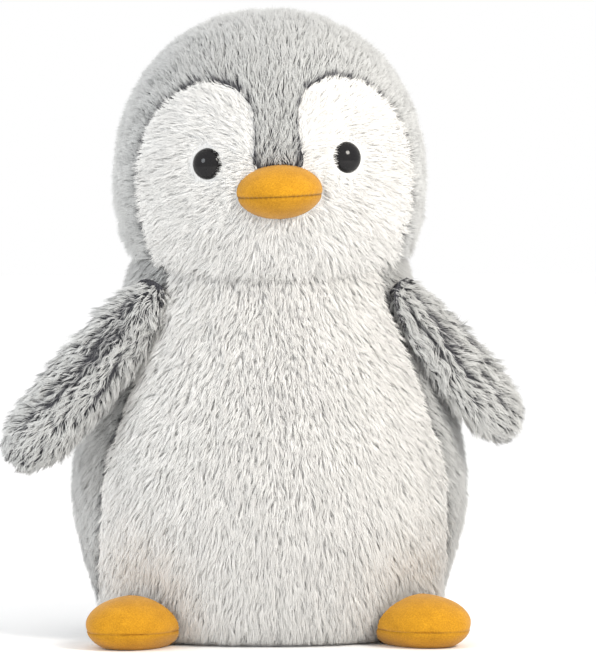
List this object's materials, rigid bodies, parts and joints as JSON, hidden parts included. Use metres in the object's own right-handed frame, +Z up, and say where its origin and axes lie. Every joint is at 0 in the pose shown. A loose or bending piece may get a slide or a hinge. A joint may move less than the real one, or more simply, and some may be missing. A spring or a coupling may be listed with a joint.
{
  "type": "plush penguin",
  "caption": "Standing plush penguin: a stuffed body with a nodding head, swinging flippers and feet whose toes lift.",
  "frame": {"origin": "middle of the flat base, on the surface that the penguin stands on", "axes": "+Z up; the penguin faces -Y; +X is its own left side"},
  "size_m": [0.2566, 0.177, 0.3066],
  "materials": {
    "white_pile": "matte",
    "grey_pile": "matte",
    "orange_velour": "matte",
    "fibre_filling": "matte",
    "pouch_cloth": "matte",
    "thread": "matte",
    "label_tape": "satin",
    "eye_plastic": "gloss",
    "washer_plastic": "matte",
    "pellet_plastic": "matte"
  },
  "bodies": {
    "torso": {"belly_left": "white_pile", "belly_right": "white_pile", "back_left": "grey_pile", "back_right": "grey_pile", "base_panel": "white_pile", "body_filling": "fibre_filling", "pellet_pouch": "pouch_cloth", "pellets": "pellet_plastic", "closing_stitches": "thread", "sewn_label": "label_tape"},
    "head": {"face_left": "white_pile", "face_right": "white_pile", "head_gusset": "grey_pile", "head_side_left": "grey_pile", "head_side_right": "grey_pile", "head_filling": "fibre_filling", "eye_left": "eye_plastic", "eye_right": "eye_plastic", "eye_washer_left": "washer_plastic", "eye_washer_right": "washer_plastic", "beak_upper": "orange_velour", "beak_lower": "orange_velour", "beak_filling": "fibre_filling"},
    "flipper_left": {"flipper_left_front": "grey_pile", "flipper_left_back": "grey_pile", "flipper_left_filling": "fibre_filling"},
    "flipper_right": {"flipper_right_front": "grey_pile", "flipper_right_back": "grey_pile", "flipper_right_filling": "fibre_filling"},
    "foot_left": {"foot_left_top": "orange_velour", "foot_left_sole": "orange_velour", "foot_left_filling": "fibre_filling"},
    "foot_right": {"foot_right_top": "orange_velour", "foot_right_sole": "orange_velour", "foot_right_filling": "fibre_filling"}
  },
  "joints": [
    {"name": "head_nod", "type": "hinge", "parent": "torso", "child": "head", "pos_m": [0, 0, 0.165], "axis": [1, 0, 0], "range_deg": [-10, 10], "stiffness_Nm_per_rad": 0.6},
    {"name": "flipper_left_swing", "type": "hinge", "parent": "torso", "child": "flipper_left", "pos_m": [0.065, -0.034, 0.163], "axis": [0.4783, -0.8335, 0.2765], "range_deg": [-4, 45], "stiffness_Nm_per_rad": 0.03, "springref_deg": 5.73},
    {"name": "flipper_right_swing", "type": "hinge", "parent": "torso", "child": "flipper_right", "pos_m": [-0.063, -0.041, 0.164], "axis": [0.1839, 0.927, -0.3268], "range_deg": [-4, 45], "stiffness_Nm_per_rad": 0.03, "springref_deg": 5.73},
    {"name": "foot_left_lift", "type": "hinge", "parent": "torso", "child": "foot_left", "pos_m": [0.05841, -0.03902, 0], "axis": [-0.8829, -0.4695, 0], "range_deg": [0, 15], "stiffness_Nm_per_rad": 0.02},
    {"name": "foot_right_lift", "type": "hinge", "parent": "torso", "child": "foot_right", "pos_m": [-0.05841, -0.03902, 0], "axis": [-0.8829, 0.4695, 0], "range_deg": [0, 15], "stiffness_Nm_per_rad": 0.02}
  ]
}
